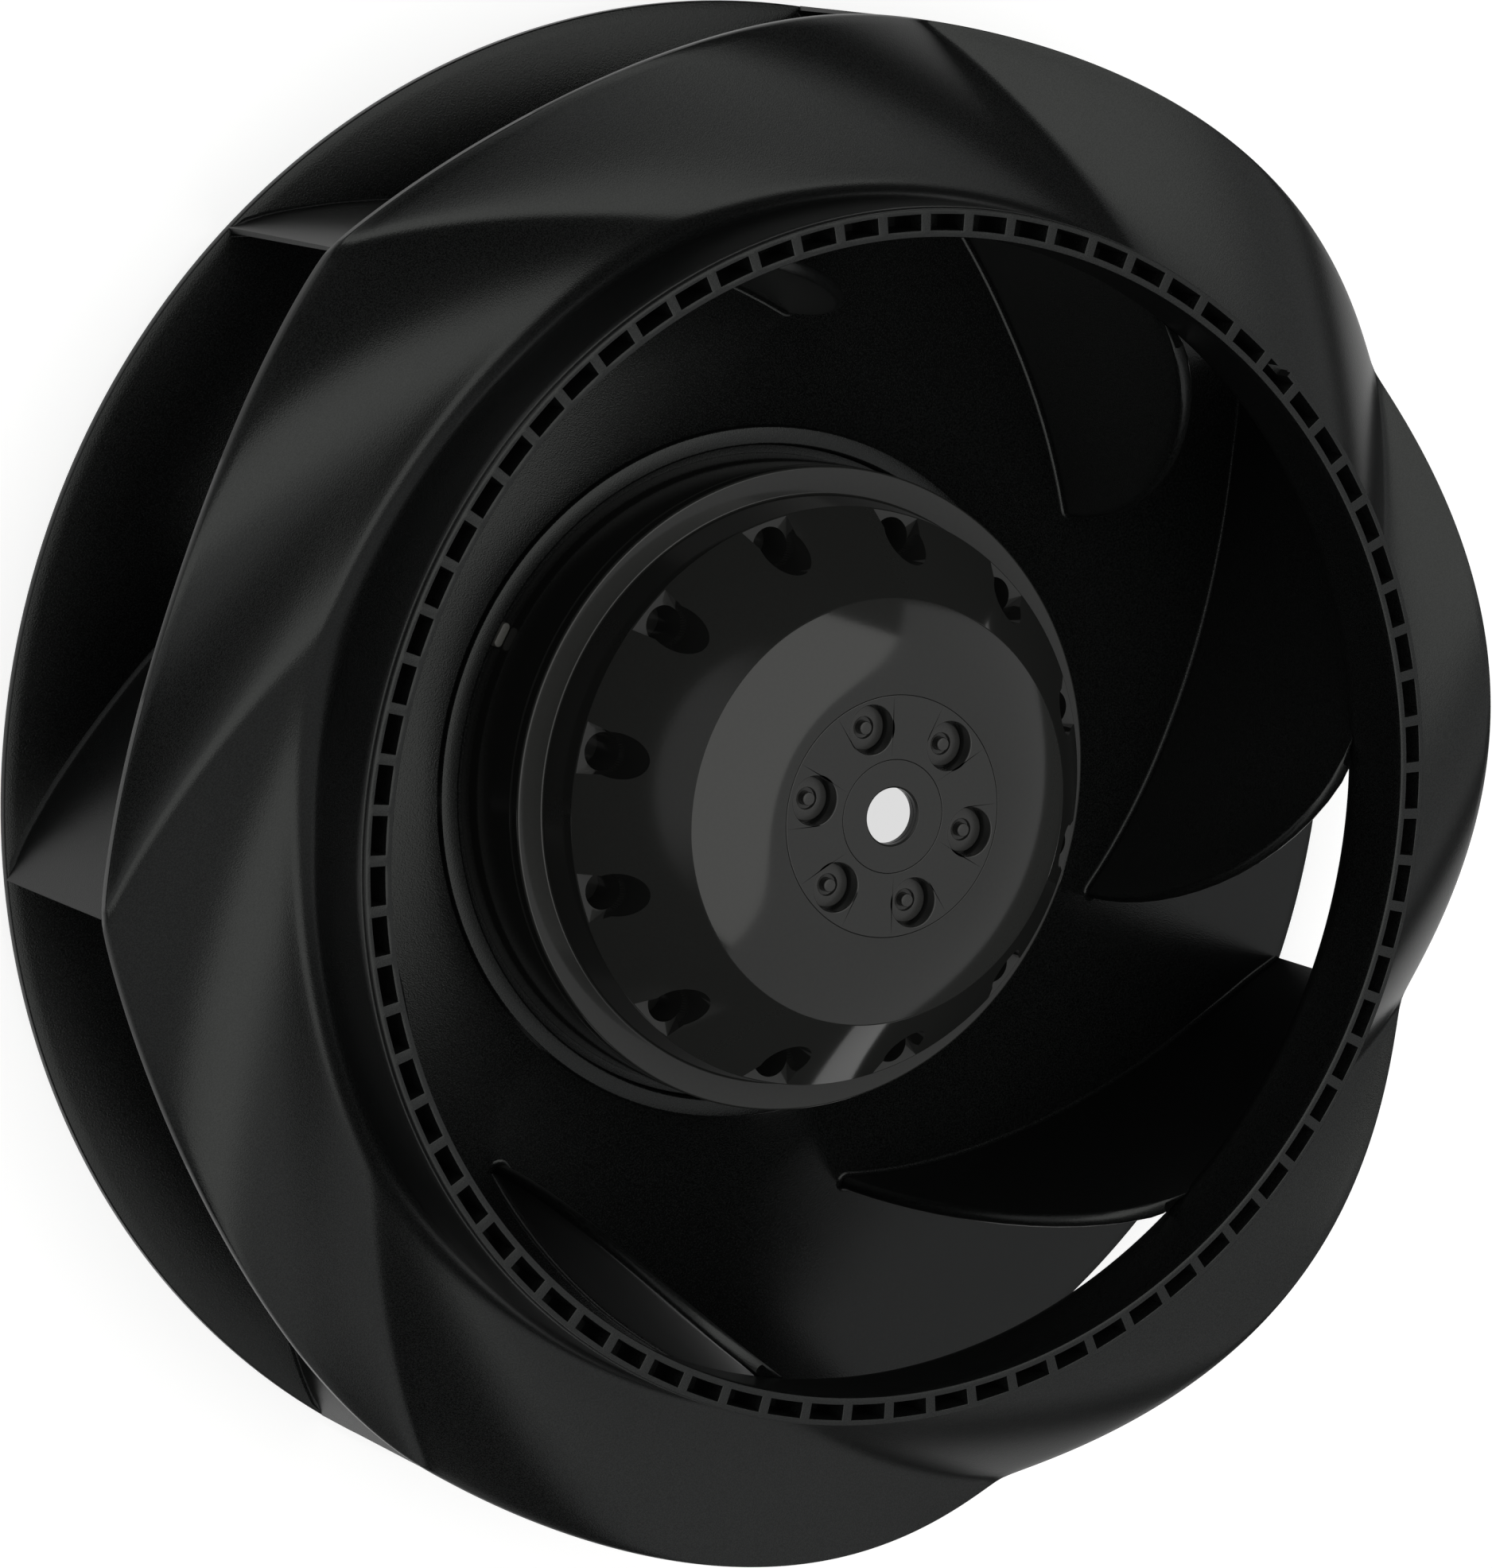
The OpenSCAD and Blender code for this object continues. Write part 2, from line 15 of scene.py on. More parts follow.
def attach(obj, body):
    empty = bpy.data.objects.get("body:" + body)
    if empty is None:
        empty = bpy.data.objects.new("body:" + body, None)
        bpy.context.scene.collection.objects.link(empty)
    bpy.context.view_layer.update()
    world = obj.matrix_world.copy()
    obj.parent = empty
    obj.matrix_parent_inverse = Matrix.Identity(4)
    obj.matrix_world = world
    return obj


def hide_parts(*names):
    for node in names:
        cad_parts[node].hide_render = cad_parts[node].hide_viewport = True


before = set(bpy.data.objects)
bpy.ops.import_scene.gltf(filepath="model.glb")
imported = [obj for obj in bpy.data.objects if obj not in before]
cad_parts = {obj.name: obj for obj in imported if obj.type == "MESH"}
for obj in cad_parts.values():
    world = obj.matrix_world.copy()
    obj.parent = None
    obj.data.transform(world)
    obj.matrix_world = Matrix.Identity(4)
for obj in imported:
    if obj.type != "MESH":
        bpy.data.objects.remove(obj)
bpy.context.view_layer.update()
MM = 0.001
print("nodes of the model:", sorted(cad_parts))

# %% [markdown]
# The camera stands high on the inlet side and looks down into the eye with a
# long lens. It was found from the ring's ellipse, the blade tips and the hub.

# %% Camera
CAMERA_PLACE = (0.14419, -0.54568, 0.95531)
camera_data = bpy.data.cameras.new("camera")
camera_data.lens = 153.31
camera_data.sensor_fit = "AUTO"
camera_data.clip_end = 20
camera = bpy.data.objects.new("camera", camera_data)
bpy.context.scene.collection.objects.link(camera)
camera_right = Vector((-0.49120, 0.71804, 0.49308))
camera_up = Vector((-0.86127, -0.48494, -0.15180))
camera_back = Vector((0.13012, -0.49924, 0.85664))
camera_turn = Matrix((camera_right, camera_up, camera_back)).transposed()
camera.matrix_world = Matrix.Translation(CAMERA_PLACE) @ camera_turn.to_4x4()
bpy.context.scene.camera = camera
print("camera lens:", camera_data.lens, "mm")

# %% [markdown]
# The sizes that more than one piece needs come first, in millimetres: the blades'
# reach, the inlet ring, the heights of the shroud, the shape of the plate, the
# hub's skirt, and the one gap that stands between pieces pressed together.

# %% Sizes shared by the pieces
BLADES = 7
LOBE = 2 * math.pi / BLADES
NOSE_ANGLE, TAIL_ANGLE = 24, 35
NOSE_R, TAIL_R, EDGE_R = 76.4, 124.7, 125.0
EYE_R, RING_R, CORNER_R = 92.1, 96.9, 3.0
CORNER_END = RING_R + CORNER_R
WHEEL_H, NECK_H, CREST_H, NOTCH_H = 71.8, 53.1, 51.5, 39.3
SHEET_T = 1.9
WAVE_START = RING_R - CORNER_R
COLLAR_R, COLLAR_H, PLATE_T, PLATE_R = 57.3, 18.2, 1.7, 125.0
SKIRT_R, SKIRT_FOOT, PRESS_GAP = 52.65, 3.0, 0.03
print("wheel:", 2 * EDGE_R, "mm across and", WHEEL_H, "mm high")

# %% [markdown]
# The blades are backward curved. One law gives the direction of the middle line
# at each radius, and its sum gives the azimuth. Every piece that meets a blade
# reads the same law, so feet, tails and creases stay together. The plate's height
# is a law too, because the blades and the weld beads stand on it.

# %% Laws of the blades and the plate
def blade_angle(r):
    """Angle between a blade's middle line and the tangent at radius r."""
    return math.radians(NOSE_ANGLE + (TAIL_ANGLE - NOSE_ANGLE) * (r - NOSE_R) / (TAIL_R - NOSE_R))


def blade_azimuth(r, steps=40):
    """Direction of the first blade's middle line at radius r, from its tail."""
    step = (TAIL_R - r) / steps
    return -sum(step / ((r + (i + 0.5) * step) * math.tan(blade_angle(r + (i + 0.5) * step)))
                for i in range(steps))


def plate_z(r):
    """Height of the back plate's front: a bell that flattens towards the edge."""
    u = min(1, max(0, (r - COLLAR_R) / (PLATE_R - COLLAR_R)))
    return PLATE_T + (COLLAR_H - PLATE_T) * (1 - u) * (0.62 + 0.38 * math.exp(-3.5 * u))


print("a blade sweeps", round(math.degrees(-blade_azimuth(NOSE_R)), 1), "degrees")

# %% [markdown]
# The shroud's sheet is highest halfway between two blades and folds down to a
# crease over each blade. The wave grows from nothing at the ring to its full
# height at the edge. A softened sine gives the sharp crease and the full swell.

# %% Law of the wave
CREASE_AWAY = 3.7


def wave_share(r):
    """How far the wave has grown at radius r: 0 at the ring, 1 at the edge."""
    return max(0.0, (r - WAVE_START) / (EDGE_R - WAVE_START))


def crest_z(r):
    """Height of the sheet where it is highest, halfway between two blades."""
    return NECK_H + (CREST_H - NECK_H) * (r - CORNER_END) / (EDGE_R - CORNER_END)


def crease_azimuth(r):
    """Direction of the crease: at the tail of its blade, and beside it further in."""
    away = CREASE_AWAY * math.sqrt(max(0.0, 1 - wave_share(r)))
    return blade_azimuth(r) - away / (r * math.sin(blade_angle(r)))


def wave_drop(r, share):
    """How far the sheet dips below its crest, a share of a lobe from the crease."""
    soft = 0.12 - 0.07 * wave_share(r)
    swell = (math.hypot(math.sin(math.pi * share), soft) - soft) / (math.hypot(1, soft) - soft)
    return (CREST_H - NOTCH_H) * wave_share(r) * (1 - swell)


def corner_rise(r, reach):
    """How far a quarter circle of the given reach rises inside the ring's corner."""
    d = min(reach, max(0.0, CORNER_END - r))
    return reach - math.sqrt(reach * reach - d * d)


print("the edge dips", round(wave_drop(EDGE_R, 0), 1), "mm at a crease")

# %% [markdown]
# Turned pieces start as a profile of corners. Each corner carries its own
# rounding, as a mould does, so every edge catches a thin line of light.

# %% Rounded profiles
def rounded(corners, steps=4):
    """Points of a closed profile; each corner is radius from the axis, height, rounding."""
    points = []
    for i, (r, z, rounding) in enumerate(corners):
        here = Vector((r, z))
        if rounding == 0:
            points.append((r, z))
            continue
        before = Vector(corners[i - 1][:2]) - here
        after = Vector(corners[(i + 1) % len(corners)][:2]) - here
        half = before.angle(after) / 2
        reach = min(rounding / math.tan(half), 0.49 * before.length, 0.49 * after.length)
        size = reach * math.tan(half)
        middle = here + (before.normalized() + after.normalized()).normalized() * size / math.sin(half)
        first = here + before.normalized() * reach - middle
        last = here + after.normalized() * reach - middle
        turn = first.angle_signed(last)
        for k in range(steps + 1):
            spoke = first.copy()
            spoke.rotate(Matrix.Rotation(-turn * k / steps, 2))
            points.append(tuple(middle + spoke))
    return points


corner_sample = rounded([(1, 0, 0.2), (2, 0, 0.2), (2, 1, 0.2), (1, 1, 0.2)])
print("a square of four rounded corners has", len(corner_sample), "points")

# %% [markdown]
# Most of the wheel is round, so a profile is spun about the axis, and what comes
# several times, such as a blade or a scoop, is made once and repeated.

# %% Turned and repeated shapes
def turned(profile, steps, closed=True):
    """A bmesh of the profile turned once round the axis."""
    bm = bmesh.new()
    line = [bm.verts.new((r * MM, 0, z * MM)) for r, z in profile]
    edges = [bm.edges.new((a, b)) for a, b in zip(line, line[1:])]
    if closed:
        edges.append(bm.edges.new((line[-1], line[0])))
    bmesh.ops.spin(bm, geom=line + edges, cent=(0, 0, 0), axis=(0, 0, 1),
                   angle=2 * math.pi, steps=steps, use_merge=True, use_duplicate=False)
    bmesh.ops.remove_doubles(bm, verts=bm.verts, dist=1e-6)
    bmesh.ops.recalc_face_normals(bm, faces=bm.faces)
    return bm


def verts_of(geom):
    """The vertices among what a bmesh operator gives back."""
    return [g for g in geom if isinstance(g, bmesh.types.BMVert)]


def round_the_axis(bm, count, turn=0.0):
    """Repeats what a bmesh holds round the axis, and then turns the whole."""
    first = list(bm.faces)
    for k in range(1, count):
        copied = bmesh.ops.duplicate(bm, geom=first)["geom"]
        bmesh.ops.rotate(bm, cent=(0, 0, 0), verts=verts_of(copied),
                         matrix=Matrix.Rotation(2 * math.pi * k / count, 3, "Z"))
    bmesh.ops.rotate(bm, cent=(0, 0, 0), matrix=Matrix.Rotation(turn, 3, "Z"), verts=bm.verts)
    return bm


print("helpers:", [f.__name__ for f in (turned, verts_of, round_the_axis)])

# %% [markdown]
# Holes are cut with booleans, which need an object for each tool. A finished
# bmesh becomes a piece: smooth, with hard edges, on the wheel's one body, with
# its finish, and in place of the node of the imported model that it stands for.

# %% Booleans and finished pieces
def only_mesh(bm, name):
    """An object that holds the bmesh, for use in a boolean."""
    mesh = bpy.data.meshes.new(name)
    bm.to_mesh(mesh)
    bm.free()
    tool = bpy.data.objects.new(name, mesh)
    bpy.context.scene.collection.objects.link(tool)
    return tool


def combined(base, tool, operation):
    """The mesh of base after a boolean with tool; both objects are used up."""
    modifier = base.modifiers.new("cut", "BOOLEAN")
    modifier.operation = operation
    modifier.object = tool
    modifier.solver = "EXACT"
    result = bmesh.new()
    result.from_object(base, bpy.context.evaluated_depsgraph_get())
    for used in (base, tool):
        bpy.data.objects.remove(used)
    return result


def as_piece(bm, name, material, slot, node, sharp, even=False):
    """Turns a bmesh into a smooth piece of the wheel, with hard edges past an angle."""
    for face in bm.faces:
        face.smooth = True
    for edge in bm.edges:
        edge.smooth = len(edge.link_faces) == 2 and edge.calc_face_angle() < math.radians(sharp)
    mesh = bpy.data.meshes.new(name)
    bm.to_mesh(mesh)
    bm.free()
    piece = bpy.data.objects.new(name, mesh)
    bpy.context.scene.collection.objects.link(piece)
    mesh.materials.append(material)
    if even:
        piece.modifiers.new("even_normals", "WEIGHTED_NORMAL").keep_sharp = True
    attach(piece, "root")
    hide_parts(node)
    print(name, "has", sum(len(p.vertices) - 2 for p in mesh.polygons), "triangles")


print("helpers:", [f.__name__ for f in (only_mesh, combined, as_piece)])

# %% [markdown]
# The plastics share one effect: the fine grain of the mould. A node group makes
# it from two scales of noise, and gives a height for the bump, a speckle for the
# colour and a mottle for the gloss. Object coordinates keep it fixed on the part.

# %% Moulded grain
GRAINS_PER_METRE, CLOUDS_PER_METRE = 4400, 45
grain = bpy.data.node_groups.new("moulded_grain", "ShaderNodeTree")
grain.interface.new_socket("Size", in_out="INPUT", socket_type="NodeSocketFloat").default_value = 1
grain.interface.new_socket("Height", in_out="OUTPUT", socket_type="NodeSocketFloat")
grain.interface.new_socket("Speckle", in_out="OUTPUT", socket_type="NodeSocketFloat")
grain.interface.new_socket("Mottle", in_out="OUTPUT", socket_type="NodeSocketFloat")
grain_in = grain.nodes.new("NodeGroupInput")
grain_out = grain.nodes.new("NodeGroupOutput")
place = grain.nodes.new("ShaderNodeTexCoord")
fine = grain.nodes.new("ShaderNodeTexNoise")
fine.inputs["Detail"].default_value = 1
cloud = grain.nodes.new("ShaderNodeTexNoise")
cloud.inputs["Scale"].default_value = CLOUDS_PER_METRE
grain_scale = grain.nodes.new("ShaderNodeMath")
grain_scale.operation = "DIVIDE"
grain_scale.inputs[0].default_value = GRAINS_PER_METRE
speckle = grain.nodes.new("ShaderNodeMapRange")
speckle.inputs["From Min"].default_value = 0.36
speckle.inputs["From Max"].default_value = 0.64
grain.links.new(grain_in.outputs["Size"], grain_scale.inputs[1])
grain.links.new(grain_scale.outputs[0], fine.inputs["Scale"])
for noise in (fine, cloud):
    grain.links.new(place.outputs["Object"], noise.inputs["Vector"])
grain.links.new(fine.outputs["Fac"], grain_out.inputs["Height"])
grain.links.new(fine.outputs["Fac"], speckle.inputs["Value"])
grain.links.new(speckle.outputs["Result"], grain_out.inputs["Speckle"])
grain.links.new(cloud.outputs["Fac"], grain_out.inputs["Mottle"])
print("grain group:", len(grain.nodes), "nodes")

# %% [markdown]
# Each finish is its own material, because gloss sets the pieces apart more than
# colour does: satin for the shroud and the plate, a smoother coat on the hub.

# %% Finishes
def plastic(name, dark, light, roughness, spread, size, depth, specular=0.5, tint=(1, 1, 1)):
    """A black plastic: dark and light are its speckle, size and depth its grain."""
    material = bpy.data.materials.new(name)
    material.use_nodes = True
    nodes, links = material.node_tree.nodes, material.node_tree.links
    surface = nodes["Principled BSDF"]
    surface.inputs["Specular IOR Level"].default_value = specular
    surface.inputs["Specular Tint"].default_value = (*tint, 1)
    grain_node = nodes.new("ShaderNodeGroup")
    grain_node.node_tree = grain
    grain_node.inputs["Size"].default_value = size
    mix = nodes.new("ShaderNodeMix")
    mix.data_type = "RGBA"
    mix.inputs["A"].default_value = (*dark, 1)
    mix.inputs["B"].default_value = (*light, 1)
    gloss = nodes.new("ShaderNodeMapRange")
    gloss.inputs["To Min"].default_value = roughness - spread
    gloss.inputs["To Max"].default_value = roughness + spread
    bump = nodes.new("ShaderNodeBump")
    bump.inputs["Strength"].default_value = 1
    bump.inputs["Distance"].default_value = depth
    links.new(grain_node.outputs["Speckle"], mix.inputs["Factor"])
    links.new(mix.outputs["Result"], surface.inputs["Base Color"])
    links.new(grain_node.outputs["Mottle"], gloss.inputs["Value"])
    links.new(gloss.outputs["Result"], surface.inputs["Roughness"])
    links.new(grain_node.outputs["Height"], bump.inputs["Height"])
    links.new(bump.outputs["Normal"], surface.inputs["Normal"])
    return material


MOULD_DARK, COOL_TINT = (0.0012, 0.0013, 0.0013), (0.97, 1.0, 0.99)
HUB_DARK, HUB_LIGHT = (0.0162, 0.0166, 0.0159), (0.0176, 0.0181, 0.0173)
shroud_black = plastic("shroud_black", MOULD_DARK, (0.0088, 0.0093, 0.0092), roughness=0.29, spread=0.04,
                       size=1.0, depth=0.022 * MM, specular=0.27, tint=COOL_TINT)
plate_black = plastic("plate_black", MOULD_DARK, (0.0078, 0.0083, 0.0082), roughness=0.23, spread=0.04,
                      size=1.0, depth=0.022 * MM, specular=0.24, tint=COOL_TINT)
hub_black = plastic("hub_black", HUB_DARK, HUB_LIGHT, roughness=0.10, spread=0.02,
                    size=2.0, depth=0.002 * MM, specular=0.3)
disc_black = plastic("disc_black", HUB_DARK, HUB_LIGHT, roughness=0.16, spread=0.03,
                     size=1.5, depth=0.004 * MM, specular=0.34)
rivet_black = plastic("rivet_black", (0.024, 0.024, 0.0235), (0.028, 0.028, 0.027),
                      roughness=0.25, spread=0.05, size=1.0, depth=0.004 * MM, specular=0.3)
plug_grey = plastic("plug_grey", (0.070, 0.070, 0.064), (0.080, 0.080, 0.074),
                    roughness=0.5, spread=0.05, size=1.5, depth=0.02 * MM)
print("finishes:", [m.name for m in bpy.data.materials if m.use_nodes])

# %% [markdown]
# The shroud is one moulding: a ring with balancing pockets, a hollow corner, and
# a sheet that waves up and down between the blades. One closed profile is turned
# first, because that gives an even net of faces. Then each point of the net is
# moved by the wave law: turned along the blade's sweep, and lowered near a crease.

# %% Shroud net
POCKETS, POCKET_L, POCKET_W, POCKET_DEPTH = 77, 5.9, 2.44, 8.0
RIM_ROUND = 0.16
POCKET_MID = (EYE_R + RING_R) / 2
PER_POCKET = 6
STEPS = POCKETS * PER_POCKET
POCKET_TURN = math.radians(1.05)


def sheet_profile():
    """Inlet ring, corner, upper side, edge, under side and flare, as on a crest."""
    ring_top = [(EYE_R, WHEEL_H - 0.4), (EYE_R + 0.12, WHEEL_H - 0.12), (EYE_R + 0.4, WHEEL_H),
                (POCKET_MID - POCKET_W / 2, WHEEL_H), (POCKET_MID + POCKET_W / 2, WHEEL_H),
                (RING_R - 0.5, WHEEL_H), (RING_R - 0.36, WHEEL_H - 0.06), (RING_R - 0.3, WHEEL_H - 0.2),
                (RING_R - 0.3, WHEEL_H - 1.0), (RING_R - 0.22, WHEEL_H - 1.08),
                (RING_R - 0.06, WHEEL_H - 1.12), (RING_R, WHEEL_H - 1.25)]
    lip_z = ring_top[-1][1]
    wall = [(RING_R, lip_z - (lip_z - NECK_H - CORNER_R) * k / 8) for k in range(1, 8)]
    corner = []
    for k in range(8, 0, -1):
        turn = math.pi / 2 * k / 8
        r = CORNER_END - CORNER_R * math.sin(turn)
        corner.append((r, crest_z(r) + CORNER_R * (1 - math.cos(turn))))
    outwards = [CORNER_END + (EDGE_R - 0.35 - CORNER_END) * k / 22 for k in range(23)]
    upper = [(r, crest_z(r)) for r in outwards]
    edge = [(EDGE_R - 0.12, CREST_H - 0.08), (EDGE_R, CREST_H - 0.35),
            (EDGE_R, CREST_H - SHEET_T + 0.35), (EDGE_R - 0.12, CREST_H - SHEET_T + 0.08)]
    under = [(r, crest_z(r) - SHEET_T) for r in reversed(outwards)]
    flare_r = CORNER_END - EYE_R
    flare = []
    for k in range(1, 13):
        r = CORNER_END - flare_r * math.sin(math.pi / 2 * k / 12)
        flare.append((r, crest_z(r) - SHEET_T + corner_rise(r, flare_r)))
    eye = [(EYE_R, flare[-1][1] + (WHEEL_H - 0.4 - flare[-1][1]) * k / 5) for k in range(1, 5)]
    return ring_top + wall + corner + upper + edge + under + flare + eye


shroud = turned(sheet_profile(), STEPS)
print("net of", len(shroud.faces), "faces")

# %% [markdown]
# The wave fades out up the ring's wall, where the net follows the pockets: four
# faces for each pocket and two for each rib between pockets.

# %% Wave of the sheet
POCKET_SHARE = POCKET_L / POCKET_MID / (2 * math.pi / POCKETS)
STEP = 2 * math.pi / STEPS
RING_START = crease_azimuth(RING_R)
FIRST_LINE = round((RING_START - POCKET_TURN) / STEP)
FADE_TOP, FADE_H = 63, 6.5


def pocket_line(line):
    """Azimuth of a line of the net on the ring: pockets wide, ribs narrow."""
    pitch, k = divmod(line, PER_POCKET)
    share = (k - 2) / 4 * POCKET_SHARE if k <= 4 else POCKET_SHARE / 2 + (k - 4) / 2 * (1 - POCKET_SHARE)
    return POCKET_TURN + (pitch + share) * 2 * math.pi / POCKETS


def place_point(co):
    """The place of a point of the turned net once the wave and the pockets have it."""
    r = math.hypot(co.x, co.y) / MM
    z = co.z / MM
    line = round(math.atan2(co.y, co.x) / STEP) % STEPS
    low = min(1.0, max(0.0, (FADE_TOP - z) / FADE_H))
    low = low * low * (3 - 2 * low)
    swept = (crease_azimuth(r) if r > RING_R else RING_START) + (line - FIRST_LINE) * STEP
    ringed = pocket_line(line)
    swept += 2 * math.pi * round((ringed - swept) / (2 * math.pi))
    azimuth = low * swept + (1 - low) * ringed
    share = ((line - FIRST_LINE) * STEP / LOBE) % 1
    z -= low * wave_drop(r, share) if r > WAVE_START else 0
    return Vector((r * math.cos(azimuth), r * math.sin(azimuth), z)) * MM


for vert in shroud.verts:
    vert.co = place_point(vert.co)
print("crest and notch of the edge:",
      [round(1000 * f(v.co.z for v in shroud.verts if v.co.xy.length > 0.1249), 1) for f in (max, min)])

# %% [markdown]
# The pockets are pushed down from the flat front of the ring, and their rims get
# a small bevel. One pocket has a slot through its outer wall, cut with a block.

# %% Balancing pockets
def on_front(face):
    """Whether a face lies in the flat front of the ring."""
    return all(abs(v.co.z - WHEEL_H * MM) < 1e-6 for v in face.verts)


shroud.faces.ensure_lookup_table()
pocket_faces = []
for face in shroud.faces:
    middle = face.calc_center_median()
    if on_front(face) and abs(middle.xy.length / MM - POCKET_MID) < POCKET_W / 2 - 0.1:
        turn = (math.atan2(middle.y, middle.x) - POCKET_TURN) / (2 * math.pi / POCKETS)
        if abs((turn + 0.5) % 1 - 0.5) < POCKET_SHARE / 2:
            pocket_faces.append(face)
pocket_set = set(pocket_faces)
floors = bmesh.ops.extrude_face_region(shroud, geom=pocket_faces)["geom"]
bmesh.ops.translate(shroud, vec=(0, 0, -POCKET_DEPTH * MM), verts=verts_of(floors))
bmesh.ops.delete(shroud, geom=list(pocket_set), context="FACES_ONLY")
rims = [e for e in shroud.edges
        if sum(on_front(f) for f in e.link_faces) == 1
        and abs(((e.verts[0].co + e.verts[1].co) / 2).xy.length / MM - POCKET_MID) < POCKET_W / 2 + 0.1]
bmesh.ops.bevel(shroud, geom=rims, offset=RIM_ROUND * MM, offset_type="OFFSET", affect="EDGES",
                segments=2, profile=0.5, material=-1, clamp_overlap=True)
SLOT_POCKET, SLOT_W, BLOCK_L, BLOCK_H = 36, 2.6, 4, 4
slot_block = bmesh.new()
bmesh.ops.create_cube(slot_block, size=MM)
bmesh.ops.scale(slot_block, vec=(BLOCK_L, SLOT_W, BLOCK_H), verts=slot_block.verts)
block_place = Vector((POCKET_MID + BLOCK_L / 2, 0, WHEEL_H - 1)) * MM
bmesh.ops.translate(slot_block, vec=block_place, verts=slot_block.verts)
round_the_axis(slot_block, 1, POCKET_TURN + SLOT_POCKET * 2 * math.pi / POCKETS)
shroud = combined(only_mesh(shroud, "net"), only_mesh(slot_block, "slot_block"), "DIFFERENCE")
print("pockets:", len(pocket_set) // 4, "with", len(rims), "rim edges")

# %% [markdown]
# Blades are lofted. The outline at the foot is a loop of edges; it is extruded
# upwards level by level, and each level follows the leading edge, which leans
# back from the foot to the eye in a quarter of an ellipse. The blade thins
# upwards, as it must to leave the mould, and its top ends inside the sheet.

# %% Blades
ALONG, NOSE_ARC, LEVELS = 30, 8, 16
LEAD_H, TAIL_HALF, DRAFT = 57.2, 0.45, 0.35


def half_thickness(u, v):
    """Half the blade's thickness, u from nose to tail and v from foot to top."""
    stations = [(0, 1.15), (0.3, 1.75), (0.8, 1.75), (0.92, 1.4), (1, TAIL_HALF)]
    for (u0, t0), (u1, t1) in zip(stations, stations[1:]):
        if u <= u1:
            w = (u - u0) / (u1 - u0)
            return (t0 + (t1 - t0) * w) * (1 - DRAFT * v)
    return TAIL_HALF * (1 - DRAFT * v)


def roof_z(r):
    """Height inside the shroud's wall where a blade ends, at radius r on the crease."""
    ring = LEAD_H + 1.5 - max(0.0, r - 93) * 1.2
    middle = (crest_z(r) - wave_drop(r, 0) - 0.55 * SHEET_T
              + (corner_rise(r, CORNER_R) + corner_rise(r, CORNER_END - EYE_R)) / 2)
    return min(ring, middle) if r < CORNER_END else middle


def blade_point(k, level, grow=0.0):
    """Point k of the outline: up one flank, round the nose and down the other flank."""
    v = level / LEVELS
    lead = NOSE_R + (EYE_R + 1 - NOSE_R) * (1 - math.cos(math.pi / 2 * v))
    if k <= ALONG:
        u, side = 1 - k / ALONG, 1
    elif k < ALONG + NOSE_ARC:
        u, side = 0, 1
    else:
        u, side = (k - ALONG - NOSE_ARC) / ALONG, -1
    r = lead + (TAIL_R - lead) * u
    azimuth = blade_azimuth(r)
    along = azimuth + math.pi / 2 - blade_angle(r)
    out = along + side * math.pi / 2
    if ALONG < k < ALONG + NOSE_ARC:
        out = along + math.pi / 2 + math.pi * (k - ALONG) / NOSE_ARC
    half = half_thickness((r - NOSE_R) / (TAIL_R - NOSE_R), v) + grow
    spot = Vector((r * math.cos(azimuth) + half * math.cos(out),
                   r * math.sin(azimuth) + half * math.sin(out)))
    low, high = plate_z(spot.length) - 0.3, roof_z(spot.length)
    return Vector((spot.x, spot.y, low + (high - low) * math.sin(math.pi / 2 * v))) * MM


def loft(bm, count, levels, point):
    """Extrudes a loop of edges level by level through the points of a function."""
    ring = [bm.verts.new(point(k, 0)) for k in range(count)]
    edges = [bm.edges.new((ring[k], ring[(k + 1) % count])) for k in range(count)]
    first = list(edges)
    order = {v: k for k, v in enumerate(ring)}
    for level in range(1, levels + 1):
        made = bmesh.ops.extrude_edge_only(bm, edges=edges)["geom"]
        new_verts = verts_of(made)
        edges = [g for g in made if isinstance(g, bmesh.types.BMEdge)
                 and all(v in set(new_verts) for v in g.verts)]
        next_order = {}
        for vert in new_verts:
            below = next(e.other_vert(vert) for e in vert.link_edges if e.other_vert(vert) in order)
            next_order[vert] = order[below]
        for vert, k in next_order.items():
            vert.co = point(k, level)
        order = next_order
    return first, edges


COUNT = 2 * ALONG + NOSE_ARC + 1
blade = bmesh.new()
foot, top = loft(blade, COUNT, LEVELS, blade_point)
bmesh.ops.edgeloop_fill(blade, edges=foot)
bmesh.ops.edgeloop_fill(blade, edges=top)
bmesh.ops.recalc_face_normals(blade, faces=blade.faces)
round_the_axis(blade, BLADES)
blade_mesh = bpy.data.meshes.new("blades")
blade.to_mesh(blade_mesh)
blade.free()
shroud.from_mesh(blade_mesh)
as_piece(shroud, "shroud_with_blades", shroud_black, "shroud_plastic", "shroud_and_blades", 34)

# %% [markdown]
# The back plate is turned: a sleeve that grips the hub, a collar with a groove,
# and a shallow bell out to a thin edge with a flat foot.

